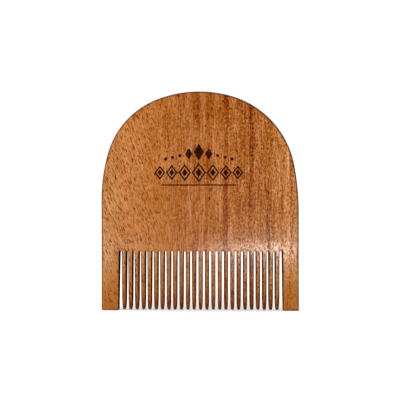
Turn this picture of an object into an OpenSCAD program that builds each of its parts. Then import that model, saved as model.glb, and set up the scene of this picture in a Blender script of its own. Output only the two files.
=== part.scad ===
// Beard comb, cut from one board of wood.
// The board stands on its two end guards: X runs across it, Y through its thickness
// (the marked front faces -Y) and Z up, with the origin midway between the feet.
// The comb is one piece of wood. Its back, guards and teeth are drawn as separate
// solids that meet at the slot line, so that every slot between them stays open.

/* [Board] */
// Width across the feet of the two guards
board_w = 80; // [76:0.5:84]
// Height from the feet to the crown of the arch
board_h = 88.6; // [84:0.2:96]
// Thickness of the flat upper board
board_t = 6.5; // [5.5:0.25:8]
// Radius that eases the outer edges of the upper board
edge_r = 1.1; // [0.6:0.1:1.6]

/* [Arch] */
// Sideways lean of the crown, as the blank was cut by hand
crown_lean = -0.4; // [-0.8:0.1:0.8]
// Radius of the crown
crown_r = 47; // [45:0.5:49]
// Radius of the left shoulder
left_shoulder_r = 33; // [31:0.5:34]
// Radius of the right shoulder
right_shoulder_r = 36; // [34:0.5:37]

/* [Thinning] */
// Height at which the flat board begins to curve in towards the teeth
thin_top = 31.5; // [29:0.5:36]
// How much each face comes in for every mm further down, below the slot line
taper = 0.05; // [0.03:0.005:0.06]

/* [Teeth] */
// Number of teeth between the guards
tooth_count = 25; // [15:1:25]
// Distance from one tooth to the next
pitch = 2.58; // [2.4:0.01:2.6]
// Width of a tooth at its root
tooth_w = 1.78; // [1.5:0.02:1.9]
// Height of the line where the slots begin to round off
slot_line = 23.7; // [21:0.1:26]
// Sideways shift of the row of teeth
row_shift = 0.26; // [-0.4:0.02:0.4]
// Width of the slot beside the left guard
left_end_slot = 1.05; // [0.8:0.05:1.5]
// Width of the slot beside the right guard
right_end_slot = 1.15; // [0.8:0.05:1.5]
// Height of the tooth tips above the feet
tip_gap = 0.3; // [0.3:0.1:1]
// Length over which a tooth narrows to its tip
tip_l = 5; // [3:0.5:8]

/* [Mark] */
// Height of the middle of the burnt mark
mark_z = 59.2; // [52:0.2:62]
// Depth of the engraving
mark_depth = 0.3; // [0.2:0.05:0.5]
// Thickness of the charred layer on the floor of the engraving
char_t = 0.1; // [0.05:0.01:0.15]
// Number of lozenges on each side of the middle one
side_lozenges = 3; // [1:1:3]

/* [Hidden] */
$fn = 64;

wood = [0.69, 0.42, 0.21];
tooth_wood = [0.64, 0.38, 0.18];
charred = [0.20, 0.10, 0.06];

// Slots and the row of teeth
slot_w = pitch - tooth_w;
row_half = ((tooth_count - 1) * pitch + tooth_w) / 2;
function tooth_x(i) = row_shift + (i - (tooth_count + 1) / 2) * pitch;
left_guard_x = row_shift - row_half - left_end_slot;
right_guard_x = row_shift + row_half + right_end_slot;

// Arch: a crown arc, then on each side a shoulder arc and a wide flank arc that ends upright.
// Angles are from the vertical; the flank's radius is what closes each side to the board's width.
side_inset = 0.15;
left_angles = [21.5, 74.3];
right_angles = [16.1, 79.4];
side_x = board_w / 2 - side_inset;
function flank_r(lean, shoulder_r, angles) =
    (side_x - lean - (crown_r - shoulder_r) * sin(angles[0]) - shoulder_r * sin(angles[1]))
    / (1 - sin(angles[1]));
left_flank_r = flank_r(-crown_lean, left_shoulder_r, left_angles);
right_flank_r = flank_r(crown_lean, right_shoulder_r, right_angles);
crown_c = [crown_lean, board_h - crown_r];
function ray(side, a) = [side * sin(a), cos(a)];
function shoulder_c(side, r, a) = crown_c + (crown_r - r) * ray(side, a[0]);
function flank_c(side, r, fr, a) = shoulder_c(side, r, a) + (r - fr) * ray(side, a[1]);
left_shoulder_c = shoulder_c(-1, left_shoulder_r, left_angles);
right_shoulder_c = shoulder_c(1, right_shoulder_r, right_angles);
left_flank_c = flank_c(-1, left_shoulder_r, left_flank_r, left_angles);
right_flank_c = flank_c(1, right_shoulder_r, right_flank_r, right_angles);

// Half thickness of the board at height z: a plain taper up to the slot line, a curve that eases
// into the flat board, then the flat board
run = thin_top - slot_line;
function half_t(z) =
    z >= thin_top ? board_t / 2
    : z >= slot_line ? board_t / 2 - taper * pow(thin_top - z, 2) / (2 * run)
    : board_t / 2 - taper * (run / 2 + slot_line - z);

// Steps along the arch and across its eased edges, in degrees
arc_step = 4;
edge_angles = [0, 30, 60, 90];

// Steps down the thinned faces, and how far every cut runs past the wood
thinning_steps = 4;
cut_clear = 1;

// Guards: corner radii, the lean of the slot side, and the easing of the feet
guard_outer_r = 0.9;
guard_inner_r = 0.35;
guard_lean = 0.3;
foot_ease = 0.5;
foot_angles = [90, 60, 30, 0];

// Steps round each corner of a guard and of a tooth
guard_steps = 3;
tooth_steps = 2;

// Teeth: corner radius, the most of a half width that it may take, and a tip that is a
// superellipse in front view
tooth_r = 0.35;
tooth_r_share = 0.7;
tip_w = 0.42;
tip_half_t = 0.75;
tip_power = 2.6;
tip_shares = [1, 0.7, 0.42, 0.2, 0.07, 0.015, 0];

// Mark: a row of framed lozenges over a rule, with three plain lozenges above and dots beside them
lozenge_pitch = [0, 5.7, 10.9, 15.7];
lozenge_half = [[2.95, 4.0], [2.6, 3.5], [2.4, 3.2], [2.2, 2.9]];
lozenge_line = 0.75;
core_share = 0.45;
row_drop = 3.4;
crest_pitch = 4.0;
crest_half = [[2.1, 3.4], [1.5, 2.4]];
crest_z = [4.9, 4.1];
dot_r = 0.65;
dot_sides = 8;
dot_places = [[7.6, 3.4], [10.6, 2.7], [13.4, 2.0]];
rule_half = 15.2;
rule_z = -8.4;
rule_w = 0.5;

function tooth_name(i) = str("tooth_", i < 10 ? "0" : "", i);

// Quarter circle of points about c, from angle a
function corner(c, r, a, steps) =
    [for (k = [0 : steps]) c + r * [cos(a + 90 * k / steps), sin(a + 90 * k / steps)]];

// Rounded rectangle at height z, from x0 to x1, with its own corner radius at each side
function section(z, x0, x1, half_y, r0, r1, steps) = [
    for (p = concat(
        corner([x1 - r1, r1 - half_y], r1, -90, steps),
        corner([x1 - r1, half_y - r1], r1, 0, steps),
        corner([x0 + r0, half_y - r0], r0, 90, steps),
        corner([x0 + r0, r0 - half_y], r0, 180, steps)
    )) [p[0], p[1], z]
];

function mix(pair, t) = pair[0] + (pair[1] - pair[0]) * max(0, min(1, t));

// Closed skin through rings of equal length, listed from the top down or from front to back
module skin(rings) {
    n = len(rings[0]);
    last = len(rings) - 1;
    sides = [
        for (j = [0 : last - 1], i = [0 : n - 1])
            let (a = j * n + i, b = j * n + (i + 1) % n)
            [a, b, b + n, a + n]
    ];
    top = [for (i = [n - 1 : -1 : 0]) i];
    bottom = [for (i = [0 : n - 1]) last * n + i];
    polyhedron([for (r = rings) each r], concat([top, bottom], sides));
}

// Front outline of the board, moved inwards by e, from the right end of the slot line over the
// crown to the left end
function arc(c, r, from, to) =
    let (n = ceil(abs(to - from) / arc_step))
    [for (k = [0 : n]) c + r * ray(1, from + (to - from) * k / n)];
function outline(e) = concat(
    [[side_x - e, slot_line]],
    arc(right_flank_c, right_flank_r - e, 90, right_angles[1]),
    arc(right_shoulder_c, right_shoulder_r - e, right_angles[1] - arc_step, right_angles[0]),
    arc(crown_c, crown_r - e, right_angles[0] - arc_step, -left_angles[0]),
    arc(left_shoulder_c, left_shoulder_r - e, -left_angles[0] - arc_step, -left_angles[1]),
    arc(left_flank_c, left_flank_r - e, -left_angles[1] - arc_step, -90),
    [[e - side_x, slot_line]]
);

// Flat board with eased outer edges, before it is thinned
module blank() {
    front = [for (a = edge_angles)
        let (y = edge_r * (1 - cos(a)) - board_t / 2)
        [for (p = outline(edge_r * (1 - sin(a)))) [p[0], y, p[1]]]];
    last = len(front) - 1;
    behind = [for (k = [last : -1 : 0]) [for (p = front[k]) [p[0], -p[1], p[2]]]];
    skin(concat(front, behind));
}

// What the thinning takes off one face: side is -1 for the front and 1 for the back
module thinning(side) {
    low = slot_line - cut_clear;
    curve = [for (i = [0 : thinning_steps])
        let (z = low + (thin_top - low) * i / thinning_steps) [side * half_t(z), z]];
    rotate([90, 0, 90])
        linear_extrude(board_w + 2 * cut_clear, center = true)
            polygon(concat(curve, [[side * board_t, thin_top], [side * board_t, low]]));
}

// Half-round root of a slot whose middle is at x
module slot_root(x, w) {
    translate([x, 0, slot_line])
        rotate([90, 0, 0]) cylinder(h = board_t + 2 * cut_clear, d = w, center = true);
}

module slot_roots() {
    for (i = [1 : tooth_count - 1]) slot_root(tooth_x(i) + pitch / 2, slot_w);
    slot_root(left_guard_x + left_end_slot / 2, left_end_slot);
    slot_root(right_guard_x - right_end_slot / 2, right_end_slot);
}

module lozenge(half) {
    polygon([[half[0], 0], [0, half[1]], [-half[0], 0], [0, -half[1]]]);
}

// Outlined lozenge with a solid core
module framed_lozenge(half) {
    inner = half - [lozenge_line, lozenge_line * half[1] / half[0]];
    difference() {
        lozenge(half);
        lozenge(inner);
    }
    lozenge(half * core_share);
}

// Front view of the burnt ornament about its own middle
module mark_outline() {
    translate([0, -row_drop]) framed_lozenge(lozenge_half[0]);
    translate([0, crest_z[0]]) lozenge(crest_half[0]);
    translate([-rule_half, rule_z - rule_w / 2]) square([2 * rule_half, rule_w]);
    for (side = [-1, 1]) {
        translate([side * crest_pitch, crest_z[1]]) lozenge(crest_half[1]);
        for (k = [1 : side_lozenges])
            translate([side * lozenge_pitch[k], -row_drop]) framed_lozenge(lozenge_half[k]);
        for (k = [0 : side_lozenges - 1])
            translate([side * dot_places[k][0], dot_places[k][1]]) circle(dot_r, $fn = dot_sides);
    }
}

// The ornament as a solid that starts depth below the front face and is t thick
module mark_solid(depth, t) {
    translate([crown_lean, depth - board_t / 2, mark_z])
        rotate([90, 0, 0]) linear_extrude(t) mark_outline();
}

module back() {
    color(wood)
        difference() {
            blank();
            thinning(-1);
            thinning(1);
            slot_roots();
            mark_solid(mark_depth, mark_depth + cut_clear);
        }
}

// Charred wood on the floor of the engraving
module burnt_mark() {
    color(charred) mark_solid(mark_depth, char_t);
}

// One end guard: a tapered leg whose slot side leans away from the teeth towards the foot
module guard(side) {
    inner = side < 0 ? left_guard_x : right_guard_x;
    function ring(z, ease) =
        let (
            drop = (slot_line - z) / slot_line,
            a = inner + side * (guard_lean * drop + ease),
            b = side * (side_x + side_inset * drop - ease),
            h = half_t(z) - ease
        )
        side < 0 ? section(z, b, a, h, guard_outer_r, guard_inner_r, guard_steps)
        : section(z, a, b, h, guard_inner_r, guard_outer_r, guard_steps);
    foot = [for (a = foot_angles)
        ring(foot_ease * (1 - sin(90 - a)), foot_ease * (1 - cos(90 - a)))];
    color(wood) hull() skin(concat([ring(slot_line, 0)], foot));
}

// One tooth, from the slot line to its rounded tip
module tooth(i) {
    x = tooth_x(i);
    function growth(share) = pow(1 - pow(1 - share, tip_power), 1 / tip_power);
    function ring(z, half_w, half_y) =
        let (r = min(tooth_r, half_w * tooth_r_share))
        section(z, x - half_w, x + half_w, half_y, r, r, tooth_steps);
    tip = [for (s = tip_shares)
        let (
            z = tip_gap + tip_l * s,
            half_w = mix([tip_w, tooth_w] / 2, growth(s)),
            half_y = mix([tip_half_t, half_t(z)], growth(s))
        )
        ring(z, half_w, half_y)];
    color(tooth_wood) hull() skin(concat([ring(slot_line, tooth_w / 2, half_t(slot_line))], tip));
}

back();
guard(-1);  // guard_left
guard(1);  // guard_right
burnt_mark();
for (i = [1 : tooth_count]) tooth(i);
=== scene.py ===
"""A wooden beard comb on a pale studio floor: fine meshes for the board, guards, teeth and burnt
ornament, procedural oiled wood, soft light, and a camera in front, a little to the right."""

import math
import random

import bpy
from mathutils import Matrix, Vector
from mathutils.geometry import delaunay_2d_cdt


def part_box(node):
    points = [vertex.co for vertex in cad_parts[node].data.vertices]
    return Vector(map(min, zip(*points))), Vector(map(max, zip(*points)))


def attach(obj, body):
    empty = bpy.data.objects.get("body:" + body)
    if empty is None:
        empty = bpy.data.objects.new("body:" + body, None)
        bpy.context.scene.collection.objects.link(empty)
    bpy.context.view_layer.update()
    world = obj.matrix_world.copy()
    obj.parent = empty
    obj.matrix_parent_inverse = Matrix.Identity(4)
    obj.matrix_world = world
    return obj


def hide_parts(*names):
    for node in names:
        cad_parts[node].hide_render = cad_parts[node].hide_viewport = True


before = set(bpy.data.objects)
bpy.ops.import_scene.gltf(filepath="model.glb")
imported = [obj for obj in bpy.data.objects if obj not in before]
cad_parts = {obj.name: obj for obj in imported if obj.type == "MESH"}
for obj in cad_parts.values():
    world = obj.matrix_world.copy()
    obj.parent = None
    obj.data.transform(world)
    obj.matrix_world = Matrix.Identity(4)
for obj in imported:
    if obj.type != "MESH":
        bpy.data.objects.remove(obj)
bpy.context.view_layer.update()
MM = 0.001
SEED = 25


def box_mm(node):
    """Lowest and highest corner of a CAD node, in millimetres."""
    low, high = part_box(node)
    return low / MM, high / MM


TEETH = sorted(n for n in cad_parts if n.startswith("tooth_"))
BACK_LOW, BACK_HIGH = box_mm("back")
LEFT_LOW, LEFT_HIGH = box_mm("guard_left")
RIGHT_LOW, RIGHT_HIGH = box_mm("guard_right")

# Board, in millimetres and degrees. The arcs, the thinning, GUARD_LEAN and the ornament's layout
# repeat numbers of the CAD source. Below the slot line each face draws in by TAPER for each
# millimetre, and between there and THIN_TOP it eases into that. Side -1 is the left, 1 the right.
SLOT_LINE = BACK_LOW.z
BOARD_HALF = BACK_HIGH.y
SIDE_X = BACK_HIGH.x
SIDE_INSET = RIGHT_HIGH.x - SIDE_X
CROWN_LEAN = -0.4
CROWN_R = 47.0
SHOULDER_R = {-1: 33.0, 1: 36.0}
ARCH_ANGLES = {-1: (21.5, 74.3), 1: (16.1, 79.4)}
ARCH_STEP = 1.5
EDGE_R = 1.1
THIN_TOP = 31.5
TAPER = 0.05

# Slots, guards and teeth, in millimetres. A guard's corner radii go from the first to the second
# value over GUARD_RUN below the slot line, and a tooth's from SLOT_EDGE_R to TOOTH_R over TOOTH_RUN.
SLOT_EDGE_R = 0.36
GUARD_LEAN = 0.3
GUARD_OUTER_R = (EDGE_R, 0.8)
GUARD_INNER_R = (SLOT_EDGE_R, 0.45)
GUARD_RUN = 6.0
FOOT_EASE = 0.4
TOOTH_R = 0.52
TOOTH_RUN = 4.0
TIP_L = 5.8
TIP_HALF_W = 0.38
TIP_HALF_T = 0.85
TIP_POWER = 2.4
# A tooth's corners take at most this share of its half width and half thickness
CORNER_SHARE = 0.8
# How much the hand-cut teeth vary: sideways lean, height of the tip and slimness in millimetres,
# and the tip's length as a share of TIP_L
TOOTH_LEAN = 0.06
TIP_LIFT = 0.04
TOOTH_SLIM = 0.05
TIP_L_SHARES = (0.85, 1.15)

# How finely the meshes follow the curves: steps, angles in degrees, shares of the tip's length.
# Edges that turn by more than SMOOTH_ANGLE stay sharp.
SIDE_STEPS = 12
SLOT_STEPS = 12
RIM_ANGLES = [0, 12, 25, 38, 52, 65, 78, 90]
WALL_STEPS = 4
GUARD_LEVELS = 26
GUARD_CORNER_STEPS = 5
FOOT_ANGLES = (20, 45, 70, 90)
TOOTH_LEVELS = 20
TOOTH_CORNER_STEPS = 4
TIP_SHARES = (0.85, 0.7, 0.55, 0.42, 0.3, 0.2, 0.12, 0.06, 0.02, 0.0)
SMOOTH_ANGLE = 42

# Loose points on the board's faces, in millimetres: spacing on the flat part, spacing of the rows
# where it thins and a little above, height of the first row, and distance kept from outlines. The
# last two are the side of a cell when close points are sought, and how close two count as one.
GRID_STEP = 1.6
GRID_LOW_STEP = 0.55
GRID_LOW_TOP = THIN_TOP + 1
GRID_START = 0.9
GRID_GAP = 0.45
SEARCH_CELL = 2
MERGE_GAP = 1e-5

# Painted shade, from 0 to 1, on the slot walls and on the rim (left and right; darker at the right,
# which faces away from the key light).
# The tips and the feet are darker towards their ends; the last two numbers say how far up that
# reaches, in millimetres.
WALL_SHADE = 1.0
RIM_SHADE = {-1: 0.75, 1: 0.88}
TIP_SHADE = 0.75
TIP_SHADE_H = 9.0
FOOT_SHADE = 0.6
FOOT_SHADE_H = 1.2
# Faces darker than this at every corner take the dull material of sawn wood
SAWN_SHADE = 0.5
# The rim's shade grows with the angle round its rounded edge, and is full from here on, in degrees
RIM_FULL = 36.0

# Burnt ornament, in millimetres: height of its middle, depth, and its shapes about that middle.
# A lozenge is its place across, half width and half height; the crest also gives the height of
# each. A dot is its place across and up. All are on both sides of the middle.
MARK_Z = 59.2
MARK_DEPTH = 0.3
LOZENGES = [(0, 2.95, 4.0), (5.7, 2.6, 3.5), (10.9, 2.4, 3.2), (15.7, 2.2, 2.9)]
LOZENGE_LINE = 0.75
LOZENGE_R = 0.14
CORE_SHARE = 0.45
ROW_DROP = 3.4
CREST = [(0, 4.9, 2.1, 3.4), (4.0, 4.1, 1.5, 2.4)]
DOTS = [(7.6, 3.4), (10.6, 2.7), (13.4, 2.0)]
DOT_R = 0.65
DOT_SIDES = 16
RULE_HALF = 15.2
RULE_Z = -8.4
RULE_W = 0.5
RULE_R = 0.12
# The charred layer in it: gap round it, width of its rising walls, depth of their top and of its
# floor below the face, and how uneven that floor is
CHAR_GAP = 0.004
CHAR_WALL = 0.13
CHAR_TOP = 0.02
CHAR_DEPTH = 0.2
CHAR_UNEVEN = 0.02


# ---------------------------------------------------------------- shape of the board

def half_t(z):
    """Half thickness of the board at height z: a plain taper up to the slot line, then a curve
    that eases into the flat board."""
    run = THIN_TOP - SLOT_LINE
    if z >= THIN_TOP:
        return BOARD_HALF
    if z >= SLOT_LINE:
        return BOARD_HALF - TAPER * (THIN_TOP - z) ** 2 / (2 * run)
    return BOARD_HALF - TAPER * (run / 2 + SLOT_LINE - z)


def mix(a, b, t):
    return a + (b - a) * max(0.0, min(1.0, t))


def ray(side, degrees):
    a = math.radians(degrees)
    return Vector((side * math.sin(a), math.cos(a)))


def arch_arcs():
    """The arcs of the arch from right to left: centre, radius, side, first and last angle."""
    crown = Vector((CROWN_LEAN, BACK_HIGH.z - CROWN_R))
    arcs = {}
    for side in (1, -1):
        a, b = ARCH_ANGLES[side]
        r = SHOULDER_R[side]
        reach = SIDE_X - side * CROWN_LEAN - (CROWN_R - r) * math.sin(math.radians(a))
        s = math.sin(math.radians(b))
        flank_r = (reach - r * s) / (1 - s)
        shoulder = crown + (CROWN_R - r) * ray(side, a)
        flank = shoulder + (r - flank_r) * ray(side, b)
        arcs[side] = [(flank, flank_r, side, 90, b), (shoulder, r, side, b, a)]
    top = (crown, CROWN_R, 1, ARCH_ANGLES[1][0], -ARCH_ANGLES[-1][0])
    left = [(c, r, s, b, a) for c, r, s, a, b in reversed(arcs[-1])]
    return arcs[1] + [top] + left


def arch_curve():
    """(point, inward normal) along the arch, from the right end of the slot line to the left."""
    points = []
    first = arch_arcs()[0][0].y
    for k in range(SIDE_STEPS):
        side = Vector((SIDE_X, mix(SLOT_LINE, first, k / SIDE_STEPS)))
        points.append((side, Vector((-1, 0))))
    for centre, r, side, a, b in arch_arcs():
        n = max(2, round(abs(b - a) / ARCH_STEP * r / CROWN_R))
        for k in range(n):
            out = ray(side, a + (b - a) * k / n)
            points.append((centre + r * out, -out))
    last = arch_arcs()[-1][0].y
    for k in range(SIDE_STEPS + 1):
        side = Vector((-SIDE_X, mix(last, SLOT_LINE, k / SIDE_STEPS)))
        points.append((side, Vector((1, 0))))
    return points


def slots():
    """(middle, width) of each slot along the slot line, from left to right."""
    walls = [LEFT_HIGH.x]
    for name in TEETH:
        low, high = box_mm(name)
        walls += [low.x, high.x]
    walls.append(RIGHT_LOW.x)
    return [((a + b) / 2, b - a) for a, b in zip(walls[::2], walls[1::2])]


def slot_curve(x, width):
    """(point, inward normal) over the half-round root of one slot, from left to right."""
    points = []
    for k in range(SLOT_STEPS + 1):
        a = math.pi * (1 - k / SLOT_STEPS)
        out = Vector((math.cos(a), math.sin(a)))
        points.append((Vector((x, SLOT_LINE)) + width / 2 * out, out))
    return points


# ---------------------------------------------------------------- mesh helpers

def make_piece(name, verts, faces, materials, slot_name, shade=None):
    """A mesh piece in millimetres that rides on the comb's body and stands for the CAD node of the
    same name. shade is the painted shade at each vertex, on the slot walls and rims, and a darkening
    towards the tips and feet; faces that are dark all over take the second material."""
    mesh = bpy.data.meshes.new(name)
    mesh.from_pydata([Vector(v) * MM for v in verts], [], faces)
    if shade:
        layer = mesh.attributes.new("shade", "FLOAT", "POINT")
        layer.data.foreach_set("value", [float(v) for v in shade])
    mesh.polygons.foreach_set("use_smooth", [True] * len(mesh.polygons))
    mesh.set_sharp_from_angle(angle=math.radians(SMOOTH_ANGLE))
    piece = bpy.data.objects.new(name, mesh)
    bpy.context.scene.collection.objects.link(piece)
    for material in materials:
        mesh.materials.append(material)
    if shade:
        for face in mesh.polygons:
            face.material_index = int(min(shade[i] for i in face.vertices) > SAWN_SHADE)
    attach(piece, "root")
    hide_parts(name)


def corner(cx, cy, r, start, steps):
    """A quarter circle from the angle start on, in degrees."""
    return [(cx + r * math.cos(math.radians(start + 90 * k / steps)),
             cy + r * math.sin(math.radians(start + 90 * k / steps))) for k in range(steps + 1)]


def section(z, x0, x1, half, r0, r1, steps):
    """Rounded rectangle at height z, with its own corner radius at each side."""
    right, left = x1 - r1, x0 + r0
    flat = (corner(right, r1 - half, r1, -90, steps) + corner(right, half - r1, r1, 0, steps)
            + corner(left, half - r0, r0, 90, steps) + corner(left, r0 - half, r0, 180, steps))
    return [(x, y, z) for x, y in flat]


def round_shade(degrees):
    """Share of the edge's shade at this angle round it: 0 on the face, 1 from RIM_FULL on."""
    return min(1.0, degrees / RIM_FULL) ** 2


def section_shade(left_shade, right_shade, steps):
    """Shade round a section: full on the side walls, growing round the corners, none on the faces."""
    up = [round_shade(90 * k / steps) for k in range(steps + 1)]
    right = [u * right_shade for u in up]
    left = [u * left_shade for u in up]
    return right + right[::-1] + left + left[::-1]


def skin(rings):
    """Vertices and faces of a closed skin through rings listed from the top down."""
    n = len(rings[0])
    verts = [p for ring in rings for p in ring]
    faces = [list(range(n))]
    for j in range(len(rings) - 1):
        for i in range(n):
            a, b = j * n + i, j * n + (i + 1) % n
            faces.append([b, a, a + n, b + n])
    last = (len(rings) - 1) * n
    faces.append([last + i for i in reversed(range(n))])
    return verts, faces


# ---------------------------------------------------------------- guards and teeth

def levels(top, bottom, count):
    """Heights from top to bottom in equal steps."""
    return [top + (bottom - top) * k / count for k in range(count + 1)]


def build_guard(name, side, materials):
    """A guard, at the left where side is -1: a leaning leg whose foot is eased all round."""
    inner = RIGHT_LOW.x if side > 0 else LEFT_HIGH.x

    def ring(z, ease):
        drop = (SLOT_LINE - z) / SLOT_LINE
        run = (SLOT_LINE - z) / GUARD_RUN
        a = inner + side * (GUARD_LEAN * drop + ease)
        b = side * (SIDE_X + SIDE_INSET * drop - ease)
        outer_r, inner_r = mix(*GUARD_OUTER_R, run), mix(*GUARD_INNER_R, run)
        h = half_t(z) - ease
        if side > 0:
            return section(z, a, b, h, inner_r, outer_r, GUARD_CORNER_STEPS)
        return section(z, b, a, h, outer_r, inner_r, GUARD_CORNER_STEPS)

    rings = [ring(z, 0) for z in levels(SLOT_LINE, FOOT_EASE, GUARD_LEVELS)]
    for degrees in FOOT_ANGLES:
        angle = math.radians(degrees)
        rings.append(ring(FOOT_EASE * (1 - math.sin(angle)), FOOT_EASE * (1 - math.cos(angle))))
    # Painted shade on the outer rim and the inner slot wall, and a darkening towards the foot
    sides = (RIM_SHADE[side], WALL_SHADE) if side < 0 else (WALL_SHADE, RIM_SHADE[side])
    around = section_shade(*sides, GUARD_CORNER_STEPS)
    foot = [max(0.0, 1 - points[0][2] / FOOT_SHADE_H) for points in rings]
    shade = [max(s, FOOT_SHADE * f) for f in foot for s in around]
    make_piece(name, *skin(rings), materials, "oiled_wood", shade)


def build_tooth(name, materials, rng):
    """A tooth that keeps nearly all its width down to a blunt, rounded tip."""
    low, high = box_mm(name)
    middle, root_w = (low.x + high.x) / 2, (high.x - low.x) / 2
    lean = rng.uniform(-TOOTH_LEAN, TOOTH_LEAN)
    tip_z = low.z + rng.uniform(0, TIP_LIFT)
    tip_l = TIP_L * rng.uniform(*TIP_L_SHARES)
    slim = rng.uniform(0.0, TOOTH_SLIM)

    def growth(share):
        """How full the tooth is at this share of the tip's length: 0 at the end, 1 at the root."""
        return (1 - (1 - share) ** TIP_POWER) ** (1 / TIP_POWER)

    def ring(z, half_w, half_y):
        run = (SLOT_LINE - z) / TOOTH_RUN
        r = min(mix(SLOT_EDGE_R, TOOTH_R, run), CORNER_SHARE * half_w, CORNER_SHARE * half_y)
        x = middle + lean * max(0, (SLOT_LINE - z) / SLOT_LINE)
        return section(z, x - half_w, x + half_w, half_y, r, r, TOOTH_CORNER_STEPS)

    rings = []
    for z in levels(SLOT_LINE, tip_z + tip_l, TOOTH_LEVELS):
        rings.append(ring(z, root_w - slim * (SLOT_LINE - z) / SLOT_LINE, half_t(z)))
    full_w = root_w - slim * (SLOT_LINE - tip_z - tip_l) / SLOT_LINE
    for share in TIP_SHARES:
        z = tip_z + tip_l * share
        full = growth(share)
        rings.append(ring(z, mix(TIP_HALF_W, full_w, full), mix(TIP_HALF_T, half_t(z), full)))
    # Painted shade on the side walls of the slots, and a darkening towards the tip
    around = section_shade(WALL_SHADE, WALL_SHADE, TOOTH_CORNER_STEPS)
    shade = []
    for ring_points in rings:
        drop = 1 - (ring_points[0][2] - tip_z) / TIP_SHADE_H
        tip = max(0.0, drop) * TIP_SHADE
        shade += [max(s, tip) for s in around]
    make_piece(name, *skin(rings), materials, "oiled_wood", shade)


# ---------------------------------------------------------------- burnt ornament

def lozenge_loop(cx, cz, half_w, half_h, offset):
    """Lozenge with softened corners, grown outwards by offset."""
    r = LOZENGE_R
    shrink = 1 - r * math.hypot(half_w, half_h) / (half_w * half_h)
    points = []
    for k, (px, pz) in enumerate([(half_w, 0), (0, half_h), (-half_w, 0), (0, -half_h)]):
        turn = math.atan2(half_w, half_h) if k % 2 == 0 else math.atan2(half_h, half_w)
        for t in (-1, -0.5, 0, 0.5, 1):
            a = math.pi / 2 * k + turn * t
            points.append(Vector((cx + px * shrink + (r + offset) * math.cos(a),
                                  cz + pz * shrink + (r + offset) * math.sin(a))))
    return points


def circle_loop(cx, cz, r):
    angles = [2 * math.pi * k / DOT_SIDES for k in range(DOT_SIDES)]
    return [Vector((cx + r * math.cos(a), cz + r * math.sin(a))) for a in angles]


def rule_loop(offset):
    """Outline of the rule, with softened corners, grown outwards by offset."""
    x, z, r = RULE_HALF - RULE_R, RULE_W / 2 - RULE_R, RULE_R + offset
    points = []
    for k, (cx, cz) in enumerate([(x, z), (-x, z), (-x, -z), (x, -z)]):
        for t in (0, 45, 90):
            a = math.radians(90 * k + t)
            points.append(Vector((CROWN_LEAN + cx + r * math.cos(a),
                                  MARK_Z + RULE_Z + cz + r * math.sin(a))))
    return points


def mark_loops(inset):
    """Closed loops round the burnt areas, moved into them by inset; a point is burnt where it is
    inside an odd number of loops."""
    loops = [rule_loop(-inset)]

    def both(x):
        return (CROWN_LEAN,) if x == 0 else (CROWN_LEAN - x, CROWN_LEAN + x)

    for x, half_w, half_h in LOZENGES:
        for cx in both(x):
            cz = MARK_Z - ROW_DROP
            share = 1 - LOZENGE_LINE / half_w
            loops.append(lozenge_loop(cx, cz, half_w, half_h, -inset))
            loops.append(lozenge_loop(cx, cz, half_w * share, half_h * share, inset))
            loops.append(lozenge_loop(cx, cz, half_w * CORE_SHARE, half_h * CORE_SHARE, -inset))
    for x, dz, half_w, half_h in CREST:
        for cx in both(x):
            loops.append(lozenge_loop(cx, MARK_Z + dz, half_w, half_h, -inset))
    for x, dz in DOTS:
        for cx in both(x):
            loops.append(circle_loop(cx, MARK_Z + dz, DOT_R - inset))
    return loops


def inside(point, loop):
    """Whether a point lies inside a closed loop."""
    x, z = point
    hit = False
    for a, b in zip(loop, loop[1:] + loop[:1]):
        if (a.y > z) != (b.y > z) and x < (b.x - a.x) * (z - a.y) / (b.y - a.y) + a.x:
            hit = not hit
    return hit


def is_burnt(point, loops):
    return sum(inside(point, loop) for loop in loops) % 2 == 1


def triangulate(loops, extra):
    """Constrained triangulation of loops and loose points: points, triangles, and the index of
    each loop point."""
    points, edges = [], []
    for loop in loops:
        start = len(points)
        points += loop
        edges += [(start + i, start + (i + 1) % len(loop)) for i in range(len(loop))]
    points += extra
    out, _, tris, source, _, _ = delaunay_2d_cdt(points, edges, [], 0, MERGE_GAP, True)
    where = {}
    for i, origins in enumerate(source):
        for o in origins:
            where[o] = i
    return out, tris, where


# ---------------------------------------------------------------- the upper board

def face_grid():
    """Loose points over the face of the board, closer together where it thins."""
    points = []
    z = SLOT_LINE + GRID_START
    row = 0
    while z < BACK_HIGH.z:
        x = -SIDE_X + (0.5 * GRID_STEP if row % 2 else 0)
        while x < SIDE_X:
            points.append(Vector((x, z)))
            x += GRID_STEP
        z += GRID_LOW_STEP if z < GRID_LOW_TOP else GRID_STEP
        row += 1
    return points


def clear_of(points, loops, gap):
    """Points that keep a gap from every loop point."""
    def cell(p):
        return int(p.x // SEARCH_CELL), int(p.y // SEARCH_CELL)

    cells = {}
    for loop in loops:
        for p in loop:
            cells.setdefault(cell(p), []).append(p)
    kept = []
    for p in points:
        i, j = cell(p)
        near = [q for a in (-1, 0, 1) for b in (-1, 0, 1) for q in cells.get((i + a, j + b), [])]
        if all((p - q).length > gap for q in near):
            kept.append(p)
    return kept


class Surface:
    """Vertices with their shade, and faces, gathered part by part."""

    def __init__(self):
        self.verts, self.shade, self.faces = [], [], []

    def vert(self, x, y, z, dark=0.0):
        self.verts.append((x, y, z))
        self.shade.append(dark)
        return len(self.verts) - 1


def rim_column(board, p, inward, r, dark):
    """A column of vertices over the rim at one point of an outline, from front to back."""
    front = []
    for a in RIM_ANGLES:
        turn = math.radians(a)
        q = p + inward * (r * (1 - math.sin(turn)))
        front.append((q, -half_t(q.y) + r * (1 - math.cos(turn)), dark * round_shade(a)))
    edge, edge_y, _ = front[-1]
    wall = [(edge, edge_y * (1 - 2 * k / WALL_STEPS), dark) for k in range(1, WALL_STEPS)]
    back = [(q, -y, d) for q, y, d in reversed(front)]
    return [board.vert(q.x, y, q.y, d) for q, y, d in front + wall + back]


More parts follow.
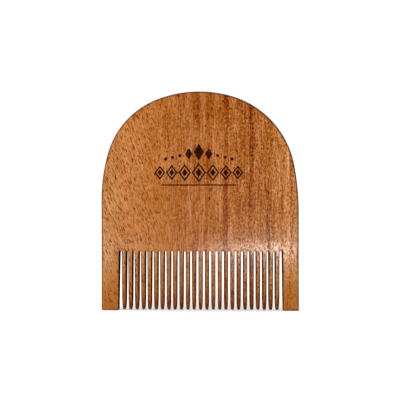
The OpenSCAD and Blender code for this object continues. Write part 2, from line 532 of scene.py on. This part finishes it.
def build_rims(board):
    """The rims of the arch and the slots, each as a list of columns, and the caps between them."""
    # Painted shade on the arch's rim, stronger at the right, and on the slot walls
    curves = [[(p, n, EDGE_R, mix(RIM_SHADE[-1], RIM_SHADE[1], p.x / SIDE_X + 0.5))
               for p, n in arch_curve()]]
    for x, width in slots():
        curves.append([(p, n, SLOT_EDGE_R, WALL_SHADE) for p, n in slot_curve(x, width)])
    rims = []
    for curve in curves:
        columns = [rim_column(board, *point) for point in curve]
        for a, b in zip(columns, columns[1:]):
            board.faces += [[a[i], a[i + 1], b[i + 1], b[i]] for i in range(len(a) - 1)]
        rims.append(columns)
    # Caps where the guards and teeth carry on below the slot line
    for a, b in zip(rims, rims[1:] + rims[:1]):
        board.faces.append(a[-1] + b[0][::-1])
    return rims


def build_faces(board, rims):
    """The marked front, the floor and walls of the engraving, and the plain back. One
    triangulation serves all of them."""
    columns = [column for rim in rims for column in rim]
    starts = [board.verts[column[0]] for column in columns]
    outline = [Vector((x, z)) for x, _, z in starts]
    loops = mark_loops(0)
    grid = clear_of(face_grid(), [outline] + loops, GRID_GAP)
    points, tris, where = triangulate([outline] + loops, [p for p in grid if inside(p, outline)])
    front = {where[k]: column[0] for k, column in enumerate(columns)}
    back = {where[k]: column[-1] for k, column in enumerate(columns)}
    floor = {}

    def at(table, i, y_of):
        if i not in table:
            p = points[i]
            table[i] = board.vert(p.x, y_of(p.y), p.y)
        return table[i]

    burnt_edges = set()
    for tri in tris:
        middle = sum((points[i] for i in tri), Vector((0, 0))) / 3
        if not inside(middle, outline):
            continue
        board.faces.append([at(back, i, half_t) for i in tri][::-1])
        if is_burnt(middle, loops):
            board.faces.append([at(floor, i, lambda z: MARK_DEPTH - half_t(z)) for i in tri])
            burnt_edges.update(zip(tri, tri[1:] + tri[:1]))
        else:
            board.faces.append([at(front, i, lambda z: -half_t(z)) for i in tri])
    start = len(outline)
    for loop in loops:
        ring = [where[start + i] for i in range(len(loop))]
        for a, b in zip(ring, ring[1:] + ring[:1]):
            if (b, a) in burnt_edges:
                a, b = b, a
            board.faces.append([floor[b], floor[a], front[a], front[b]])
        start += len(loop)


def build_back(materials):
    board = Surface()
    build_faces(board, build_rims(board))
    make_piece("back", board.verts, board.faces, materials, "oiled_wood", board.shade)


def build_mark(material, rng):
    """Charred trough: its floor lies low and its walls rise to just under the face."""
    outer, inner = mark_loops(CHAR_GAP), mark_loops(CHAR_GAP + CHAR_WALL)
    points, tris, where = triangulate(outer + inner, [])
    rim = {where[i] for i in range(sum(len(loop) for loop in outer))}
    verts, faces = [], []
    top, bottom = {}, {}

    def put(table, i, y):
        if i not in table:
            verts.append((points[i].x, y, points[i].y))
            table[i] = len(verts) - 1
        return table[i]

    for i in range(len(points)):
        depth = CHAR_TOP if i in rim else CHAR_DEPTH + rng.uniform(-CHAR_UNEVEN, CHAR_UNEVEN)
        put(top, i, depth - BOARD_HALF)
        put(bottom, i, MARK_DEPTH - CHAR_GAP - BOARD_HALF)
    edges = {}
    for tri in tris:
        middle = sum((points[i] for i in tri), Vector((0, 0))) / 3
        if not is_burnt(middle, outer):
            continue
        faces.append([top[i] for i in tri])
        faces.append([bottom[i] for i in tri][::-1])
        for a, b in zip(tri, tri[1:] + tri[:1]):
            edges[(a, b)] = (b, a)
    for a, b in edges:
        if (b, a) not in edges:
            faces.append([top[b], top[a], bottom[a], bottom[b]])
    used = sorted({i for f in faces for i in f})
    index = {old: new for new, old in enumerate(used)}
    make_piece("burnt_mark", [verts[i] for i in used], [[index[i] for i in f] for f in faces],
               [material], "charred_wood")


# ---------------------------------------------------------------- materials

def linear(rgb):
    """An sRGB colour of 0 to 255 as linear RGBA."""
    def one(c):
        c /= 255
        return c / 12.92 if c <= 0.04045 else ((c + 0.055) / 1.055) ** 2.4
    return (*[one(c) for c in rgb], 1.0)


class Graph:
    """Short calls for building a node tree."""

    def __init__(self, name):
        self.material = bpy.data.materials.new(name)
        self.material.use_nodes = True
        self.tree = self.material.node_tree
        self.shader = self.tree.nodes["Principled BSDF"]

    def node(self, kind, inputs=(), **settings):
        n = self.tree.nodes.new(kind)
        for key, value in settings.items():
            setattr(n, key, value)
        for key, value in dict(inputs).items():
            self.plug(n.inputs[key], value)
        return n

    def plug(self, socket, value):
        if isinstance(value, bpy.types.NodeSocket):
            self.tree.links.new(value, socket)
        else:
            socket.default_value = value

    def math(self, operation, a, b=0.0, c=0.0, clamp=False):
        n = self.node("ShaderNodeMath", {0: a, 1: b, 2: c}, operation=operation, use_clamp=clamp)
        return n.outputs[0]

    def ramp(self, value, low, high, to_low=0.0, to_high=1.0):
        n = self.node("ShaderNodeMapRange", {"Value": value, "From Min": low, "From Max": high,
                                             "To Min": to_low, "To Max": to_high})
        n.interpolation_type = "SMOOTHSTEP"
        return n.outputs[0]

    def vector(self, x, y, z):
        return self.node("ShaderNodeCombineXYZ", {0: x, 1: y, 2: z}).outputs[0]

    def noise(self, vector, detail=2.0, rough=0.5, dimensions="2D"):
        n = self.node("ShaderNodeTexNoise", {"Vector": vector, "Scale": 1.0, "Detail": detail,
                                             "Roughness": rough}, noise_dimensions=dimensions)
        return n.outputs["Fac"]

    def blend(self, factor, a, b, mode="MIX"):
        n = self.node("ShaderNodeMix", data_type="RGBA", blend_type=mode)
        self.plug(n.inputs[0], factor)
        self.plug(n.inputs[6], a)
        self.plug(n.inputs[7], b)
        return n.outputs[2]

    def colours(self, value, stops, encode=linear):
        """Colour ramp through (place, sRGB) stops."""
        n = self.node("ShaderNodeValToRGB", {"Fac": value})
        elements = n.color_ramp.elements
        for k, (place, rgb) in enumerate(stops):
            e = elements[k] if k < 2 else elements.new(place)
            e.position = place
            e.color = encode(rgb)
        return n.outputs["Color"]

    def screen_colours(self, value, stops):
        """The same ramp, as screen values of 0 to 1."""
        return self.colours(value, stops, lambda rgb: (*[c / 255 for c in rgb], 1.0))

    def bump(self, height, strength, depth_mm):
        n = self.node("ShaderNodeBump", {"Height": height, "Strength": strength,
                                         "Distance": depth_mm * MM})
        self.plug(self.shader.inputs["Normal"], n.outputs["Normal"])


# The studio light is bright enough to clear the floor to white, so the wood is this much darker
# than it shows
ALBEDO = 0.66

# Tones are worked out as screen values from 0 to 1, then turned into reflectance by this power
SCREEN_GAMMA = 2.2

# Broad tone of the board from left to right: place in millimetres and sRGB colour
TONES = [(-40, (192, 129, 74)), (-30, (193, 123, 67)), (-20, (189, 118, 62)), (-8, (173, 103, 49)),
         (1, (174, 103, 48)), (9, (178, 108, 50)), (18, (173, 102, 45)), (26, (174, 105, 47)),
         (34, (192, 123, 64)), (40, (198, 130, 71))]
TONE_SPAN = 84.0

# Ribbons of the grain: place, half width in millimetres, and how much lighter or darker
RIBBONS = [(-6.0, 1.0, 0.5), (-3.4, 1.2, -0.5), (-1.0, 0.9, 0.25), (1.2, 0.8, -0.3), (4.4, 2.4, 0.4),
           (8.2, 0.9, -0.9), (11.5, 1.2, 0.25), (14.0, 0.8, -0.25), (18.6, 0.8, -0.8),
           (22.0, 1.4, 0.3), (25.7, 0.7, -0.8), (28.2, 1.1, 0.35), (31.0, 0.8, -0.25),
           (33.0, 1.0, 0.75), (34.6, 0.6, -0.6), (37.2, 1.0, 0.35)]
# A ribbon is full up to the first and gone from the second share of its half width
RIBBON_EDGE = (0.6, 1.3)
# It fades between these strengths along the grain, over this range of the fading noise
RIBBON_FADE = (0.35, 1.35)
FADE_NOISE = (0.3, 0.6)
# How dark a ribbon has to be for its own row of pores to start and to be full
DARK_RIBBON = (0.15, 0.7)

# Grain at the left leans by this much, and is upright to the right of the blend
GRAIN_LEAN = 0.38
LEAN_BLEND = (-14.0, -4.0)
# How far the grain shifts sideways for each millimetre through the board
GRAIN_SLANT = 0.6
# How far the upright grain and the border of the leaning grain wander, in millimetres
WANDER = 2.6
BORDER_WANDER = 16.0
# Slow noises: cells per millimetre across and along the grain
WANDER_CELLS = (0.05, 0.02)
BORDER_CELLS = (0.15, 0.04)
FADE_CELLS = (0.25, 0.035)
PATCH_CELLS = (0.08, 0.06)
# The guards have calmer grain: how much weaker, from where outwards and from what height down
CALM = 0.5
CALM_X = (32.5, 34.5)
CALM_Z = (18.0, 26.0)
# Where the calm middle of the board gives way to the coarser right
RIGHT_BLEND = (4.0, 16.0)

# Each kind of streak: cells per millimetre across and along the grain, octaves, and its weights at
# the left, in the middle and at the right; and how strong each finer octave is
STREAK_ROUGH = 0.6
STREAKS = {"fine": (1.6, 0.11, 2.0, (0.27, 0.34, 0.48)),
           "short": (1.6, 1.0, 1.0, (0.24, 0.30, 0.46)),
           "broad": (0.42, 0.03, 2.0, (0.10, 0.17, 0.17))}
# Each kind of pore: cells per millimetre across and along, radius in cells, share, and its weights
PORES = {"long": (1.15, 0.24, 0.26, 0.9, (0.44, 0.22, 0.18)),
         "small": (1.5, 0.55, 0.29, 0.8, (0.22, 0.16, 0.32)),
         "row": (1.4, 0.65, 0.38, 0.95, (0.0, 0.22, 0.30)),
         "speck": (0.09, 0.09, 0.04, 0.6, (0.42, 0.42, 0.42))}
# A pore is fully dark up to this share of its radius, and the faintest has this strength
PORE_CORE = 0.65
PORE_FAINTEST = 0.2
# The teeth and guards are darker by this much towards the floor, from this height down
FOOT_WEIGHT = 0.08
FOOT_REACH = 24.0
# The crown is also darker, between these heights
CROWN_WEIGHT = 0.035
CROWN_Z = (72.0, 88.0)
# At the right the pores lie open where the board thins, between these heights
OPEN_PORES = 0.3
OPEN_TOP = (29.0, 34.0)
OPEN_FOOT = (15.0, 21.0)
# How much the ribbons and the slow patches change the tone
RIBBON_WEIGHT = 0.085
PATCH_WEIGHT = 0.16
# Share of each change that red, green and blue take, and the darkest screen colour they reach
CHANGE_RGB = (0.75, 0.87, 1.15)
DARKEST = (0.11, 0.04, 0.015)
# Colour of the painted shade on the slot walls and rims, also taken towards the tips and feet, and
# how much of it shows where the shade is full
SHADE_COLOUR = (66, 26, 9)
SHADE_SHARE = 0.9

# Roughness of the oiled face over this range of the short fibres, and what pores and sawn walls add
FIBRE_ROUGH = (0.17, 0.22)
FIBRE_NOISE = (0.42, 0.62)
PORE_ROUGH = 0.12
SAWN_ROUGH = 0.6
# Relief: height of the fibres beside the depth of the pores, strength, and depth in millimetres
FIBRE_HEIGHT = 0.3
WOOD_BUMP = (0.6, 0.08)
OILED_GLOSS = 0.06
SAWN_GLOSS = 0.0

# Charred wood: cells per millimetre across and along, range of the noise, its colours from dark to
# light, its roughness from dark to light, and its bump's strength and depth in millimetres
CHAR_CELLS = (1.6, 0.3)
CHAR_NOISE = (0.3, 0.7)
CHAR_COLOURS = [(0.3, (14, 4, 2)), (0.5, (34, 11, 4)), (0.7, (78, 32, 12))]
CHAR_ROUGH = (0.75, 0.6)
CHAR_BUMP = (0.6, 0.05)

FLOOR_COLOURS = [(0.3, (249, 249, 249)), (0.7, (252, 252, 252))]
FLOOR_ROUGH = 0.8
FLOOR_GLOW = 0.18


class Wood(Graph):
    """Oiled wood, drawn from the place on the comb in millimetres. Its grain leans at the left and
    is upright elsewhere."""

    def __init__(self, name):
        super().__init__(name)
        coord = self.node("ShaderNodeTexCoord").outputs["Object"]
        to_mm = self.node("ShaderNodeVectorMath", {0: coord, 1: (1 / MM, 1 / MM, 1 / MM)},
                          operation="MULTIPLY")
        self.x, y, self.z = self.node("ShaderNodeSeparateXYZ", {0: to_mm.outputs[0]}).outputs
        self.slant = self.math("MULTIPLY_ADD", y, GRAIN_SLANT, self.x)
        wander = self.math("SUBTRACT", self.slow_noise(WANDER_CELLS), 0.5)
        self.upright = self.math("MULTIPLY_ADD", wander, WANDER, self.slant)
        self.leaning = self.math("MULTIPLY_ADD", self.z, GRAIN_LEAN, self.slant)
        border = self.math("MULTIPLY_ADD", self.slow_noise(BORDER_CELLS), BORDER_WANDER, self.x)
        self.at_left = self.ramp(border, *LEAN_BLEND, 1.0, 0.0)
        self.at_right = self.ramp(self.x, *RIGHT_BLEND)
        self.shade = self.node("ShaderNodeAttribute", attribute_name="shade").outputs["Fac"]

    def stretched(self, coord, across, along):
        """Noise coordinates with so many cells per millimetre across the grain and along it."""
        return self.vector(self.math("MULTIPLY", coord, across),
                           self.math("MULTIPLY", self.z, along), 0.0)

    def slow_noise(self, cells, detail=2.0):
        return self.noise(self.stretched(self.slant, *cells), detail)

    def by_place(self, left, middle, right):
        """A weight that changes from left to right over the board."""
        weight = self.math("MULTIPLY_ADD", self.at_left, left - middle, middle)
        return self.math("MULTIPLY_ADD", self.at_right, right - middle, weight)

    def along_grain(self, maker):
        """What maker draws along the upright grain, blended into the same along the leaning one."""
        a, b = maker(self.upright), maker(self.leaning)
        mixed = self.node("ShaderNodeMix", {0: self.at_left, 2: a, 3: b}, data_type="FLOAT")
        return mixed.outputs[0]

    def streaks(self, kind):
        """The noise of one kind of streak, and how much it changes the tone."""
        across, along, octaves, weights = STREAKS[kind]
        noise = self.along_grain(lambda c: self.noise(self.stretched(c, across, along), octaves,
                                                      STREAK_ROUGH))
        about_zero = self.math("SUBTRACT", noise, 0.5)
        return noise, self.math("MULTIPLY", about_zero, self.by_place(*weights))

    def pores(self, kind, coord):
        """Short dark dashes: 1 at the heart of the deepest, 0 between them."""
        across, along, size, share, _ = PORES[kind]
        cells = self.node("ShaderNodeTexVoronoi", {"Vector": self.stretched(coord, across, along),
                                                   "Scale": 1.0, "Randomness": 1.0},
                          voronoi_dimensions="2D")
        pick = self.node("ShaderNodeSeparateColor", {0: cells.outputs["Color"]}).outputs
        keep = self.math("LESS_THAN", pick[0], share)
        dot = self.ramp(cells.outputs["Distance"], size * PORE_CORE, size, 1.0, 0.0)
        strength = self.math("MULTIPLY_ADD", pick[1], 1 - PORE_FAINTEST, PORE_FAINTEST)
        return self.math("MULTIPLY", self.math("MULTIPLY", dot, keep), strength)

    def ribbons(self):
        """Light and dark ribbons along the upright grain, from about 1 to -1."""
        total = 0.0
        full, gone = RIBBON_EDGE
        for place, half, amount in RIBBONS:
            off = self.math("ABSOLUTE", self.math("SUBTRACT", self.upright, place))
            total = self.math("ADD", total, self.ramp(off, half * full, half * gone, amount, 0.0))
        fade = self.ramp(self.slow_noise(FADE_CELLS), *FADE_NOISE, *RIBBON_FADE)
        return self.math("MULTIPLY", total, fade)

    def draw_grain(self):
        """Draws the streaks, ribbons and pores, keeps those that the finish needs, and returns how
        much lighter or darker they make each place."""
        self.fine, change = self.streaks("fine")
        self.short, part = self.streaks("short")
        change = self.math("ADD", change, part)
        change = self.math("ADD", change, self.streaks("broad")[1])
        patch = self.slow_noise(PATCH_CELLS, 3.0)
        patch = self.math("MULTIPLY_ADD", patch, PATCH_WEIGHT, -PATCH_WEIGHT / 2)
        change = self.math("ADD", change, patch)
        ribbons = self.ribbons()
        change = self.math("MULTIPLY_ADD", ribbons, RIBBON_WEIGHT, change)
        self.dashes = self.along_grain(lambda c: self.pores("long", c))
        self.dots = self.along_grain(lambda c: self.pores("small", c))
        in_dark = self.ramp(self.math("MULTIPLY", ribbons, -1.0), *DARK_RIBBON)
        self.rows = self.math("MULTIPLY", self.pores("row", self.upright), in_dark)
        specks = self.pores("speck", self.upright)
        for part, kind in ((self.dashes, "long"), (self.dots, "small"), (self.rows, "row"),
                           (specks, "speck")):
            weight = self.by_place(*PORES[kind][-1])
            change = self.math("SUBTRACT", change, self.math("MULTIPLY", part, weight))
        return change

    def change_by_region(self, change):
        """Opens the pores where the board thins, calms the guards, darkens the foot and crown."""
        thinned = self.math("MULTIPLY", self.ramp(self.z, *OPEN_TOP, 1.0, 0.0),
                            self.ramp(self.z, *OPEN_FOOT))
        opened = self.math("MULTIPLY", self.math("MULTIPLY", thinned, self.at_right), self.dots)
        change = self.math("MULTIPLY_ADD", opened, -OPEN_PORES, change)
        in_guard = self.math("MULTIPLY", self.ramp(self.math("ABSOLUTE", self.x), *CALM_X),
                             self.ramp(self.z, *CALM_Z, 1.0, 0.0))
        change = self.math("MULTIPLY", change, self.math("MULTIPLY_ADD", in_guard, -CALM, 1.0))
        change = self.math("ADD", change, self.ramp(self.z, 0.0, FOOT_REACH, -FOOT_WEIGHT, 0.0))
        return self.math("ADD", change, self.ramp(self.z, *CROWN_Z, 0.0, -CROWN_WEIGHT))

    def colour(self, change):
        """The board's broad tone with the change added, and painted shade where the shade attribute
        is high.
        """
        place = self.math("MULTIPLY_ADD", self.upright, 1 / TONE_SPAN, 0.5)
        tone = self.screen_colours(place, [(p / TONE_SPAN + 0.5, c) for p, c in TONES])
        rgb_change = self.vector(*[self.math("MULTIPLY", change, weight) for weight in CHANGE_RGB])
        changed = self.node("ShaderNodeVectorMath", {0: tone, 1: rgb_change}, operation="ADD")
        floored = self.node("ShaderNodeVectorMath", {0: changed.outputs[0], 1: DARKEST},
                            operation="MAXIMUM")
        colour = self.node("ShaderNodeGamma", {0: floored.outputs[0], 1: SCREEN_GAMMA}).outputs[0]
        # Painted shade: the colour goes towards a deep brown where the shade attribute is high
        colour = self.blend(self.math("MULTIPLY", self.shade, SHADE_SHARE), colour, linear(SHADE_COLOUR))
        return self.blend(1.0, colour, (ALBEDO, ALBEDO, ALBEDO, 1.0), "MULTIPLY")

    def finish(self, gloss):
        """Pores and fibres break the satin gloss and stand in relief, and sawn walls are dull."""
        broken = self.math("MAXIMUM", self.math("MAXIMUM", self.dashes, self.rows), self.dots)
        rough = self.ramp(self.short, *FIBRE_NOISE, *FIBRE_ROUGH)
        rough = self.math("MULTIPLY_ADD", broken, PORE_ROUGH, rough)
        rough = self.math("MULTIPLY_ADD", self.shade, SAWN_ROUGH, rough, clamp=True)
        fibres = self.math("MULTIPLY", self.math("ADD", self.fine, self.short), FIBRE_HEIGHT)
        self.bump(self.math("SUBTRACT", fibres, broken), *WOOD_BUMP)
        self.plug(self.shader.inputs["Roughness"], rough)
        self.shader.inputs["Specular IOR Level"].default_value = gloss


def wood_material(name, gloss):
    wood = Wood(name)
    change = wood.change_by_region(wood.draw_grain())
    wood.plug(wood.shader.inputs["Base Color"], wood.colour(change))
    wood.finish(gloss)
    return wood.material


def char_material():
    g = Graph("charred_wood")
    coord = g.node("ShaderNodeTexCoord").outputs["Object"]
    x, y, z = g.node("ShaderNodeSeparateXYZ", {0: coord}).outputs
    across, along = [cells / MM for cells in CHAR_CELLS]
    place = g.vector(g.math("MULTIPLY", x, across), g.math("MULTIPLY", y, across),
                     g.math("MULTIPLY", z, along))
    tone = g.noise(place, 3.0, 0.6, "3D")
    g.plug(g.shader.inputs["Base Color"], g.colours(tone, CHAR_COLOURS))
    g.plug(g.shader.inputs["Roughness"], g.ramp(tone, *CHAR_NOISE, *CHAR_ROUGH))
    g.shader.inputs["Specular IOR Level"].default_value = 0.0
    g.bump(tone, *CHAR_BUMP)
    return g.material


def floor_material():
    """A pale matt floor with a little light of its own, so that it stays near white."""
    g = Graph("pale_floor")
    coord = g.node("ShaderNodeTexCoord").outputs["Object"]
    tone = g.noise(coord, 2.0, 0.5, "3D")
    g.plug(g.shader.inputs["Base Color"], g.colours(tone, FLOOR_COLOURS))
    g.shader.inputs["Roughness"].default_value = FLOOR_ROUGH
    g.shader.inputs["Specular IOR Level"].default_value = 0.0
    g.shader.inputs["Emission Color"].default_value = (1, 1, 1, 1)
    g.shader.inputs["Emission Strength"].default_value = FLOOR_GLOW
    return g.material


# ---------------------------------------------------------------- studio

# Camera: lens and sensor width in millimetres, the point on the front it aims at (across and up),
# where it stands from there, and the nearest it sees
LENS = 67.1
SENSOR = 36
AIM_X = 0.08
AIM_Z = 44.75
CAMERA_OFF = (7.6, -300, 0)
CAMERA_NEAR = 10

# World and floor: strength of the white surroundings, half the floor's width in millimetres
WORLD_STRENGTH = 1.05
FLOOR_HALF = 3000

# Lights and cards, in millimetres: name, place, target, size across and up; and watts for lights
COMB_MIDDLE = (0, 0, 45)
KEY = ("key", (-380, -420, 300), COMB_MIDDLE, (420, 420), 2.2)
# The glow lights lie in front of the comb and face straight up; they make its highlight
GLOW_COLOUR = (1.0, 0.96, 0.82)
GLOWS = [("glow_left", (-85, -165, 2), (-85, -165, 90), (76, 130), 1.4),
         ("glow_middle", (24, -150, 3), (24, -150, 90), (48, 90), 1.5),
         ("glow_right", (64, -150, 4), (64, -150, 90), (76, 90), 1.9)]
FLAGS = [("flag_front", (0, -560, 90), COMB_MIDDLE, (2600, 1500)),
         ("flag_table", (0, -290, 1), (0, -290, 90), (1600, 560))]


def add_object(name, data):
    obj = bpy.data.objects.new(name, data)
    bpy.context.scene.collection.objects.link(obj)
    return obj


def place_at(obj, place, target):
    """Puts an object at a place in millimetres and turns it towards a target."""
    obj.location = Vector(place) * MM
    obj.rotation_euler = (Vector(target) * MM - obj.location).to_track_quat("-Z", "Y").to_euler()


def add_camera():
    data = bpy.data.cameras.new("camera")
    data.sensor_width = SENSOR
    data.lens = LENS
    data.clip_start = CAMERA_NEAR * MM
    camera = add_object("camera", data)
    aim = Vector((AIM_X, BACK_LOW.y, AIM_Z))
    place_at(camera, aim + Vector(CAMERA_OFF), aim)
    bpy.context.scene.camera = camera


def add_area(name, place, target, size, power, glossy_only=False):
    """A rectangular light; a glossy_only one shows in reflections and lights nothing else."""
    data = bpy.data.lights.new(name, "AREA")
    data.shape = "RECTANGLE"
    data.size, data.size_y = size[0] * MM, size[1] * MM
    data.energy = power
    light = add_object(name, data)
    place_at(light, place, target)
    if glossy_only:
        data.color = GLOW_COLOUR
        data.use_shadow = False
        light.visible_diffuse = False
        light.visible_camera = False


def rectangle(name, half_w, half_h):
    """A flat mesh about its middle, with half sizes in millimetres."""
    w, h = half_w * MM, half_h * MM
    mesh = bpy.data.meshes.new(name)
    mesh.from_pydata([(-w, -h, 0), (w, -h, 0), (w, h, 0), (-w, h, 0)], [], [[0, 1, 2, 3]])
    return mesh


def add_flag(name, place, target, size):
    """A black card that only reflections see: it keeps the surroundings out of the wood."""
    mesh = rectangle(name, size[0] / 2, size[1] / 2)
    card = add_object(name, mesh)
    place_at(card, place, target)
    g = Graph(name)
    g.shader.inputs["Base Color"].default_value = (0, 0, 0, 1)
    g.shader.inputs["Specular IOR Level"].default_value = 0
    mesh.materials.append(g.material)
    card.visible_camera = False
    card.visible_diffuse = False
    card.visible_shadow = False


def add_floor():
    mesh = rectangle("floor", FLOOR_HALF, FLOOR_HALF)
    floor = add_object("floor", mesh)
    mesh.materials.append(floor_material())


def add_world():
    world = bpy.data.worlds.new("studio")
    world.use_nodes = True
    bpy.context.scene.world = world
    background = world.node_tree.nodes["Background"]
    background.inputs["Color"].default_value = (1, 1, 1, 1)
    background.inputs["Strength"].default_value = WORLD_STRENGTH
    world.cycles.sampling_method = "NONE"


def build_studio():
    add_world()
    add_floor()
    add_area(*KEY)
    for flag in FLAGS:
        add_flag(*flag)
    for glow in GLOWS:
        add_area(*glow, glossy_only=True)
    view = bpy.context.scene.view_settings
    view.view_transform = "Standard"
    view.look = "None"
    view.exposure = 0.0


def build_comb():
    wood = [wood_material("oiled_wood", OILED_GLOSS), wood_material("sawn_wood", SAWN_GLOSS)]
    rng = random.Random(SEED)
    build_back(wood)
    build_mark(char_material(), rng)
    build_guard("guard_left", -1, wood)
    build_guard("guard_right", 1, wood)
    for name in TEETH:
        build_tooth(name, wood, rng)


add_camera()
build_studio()
build_comb()
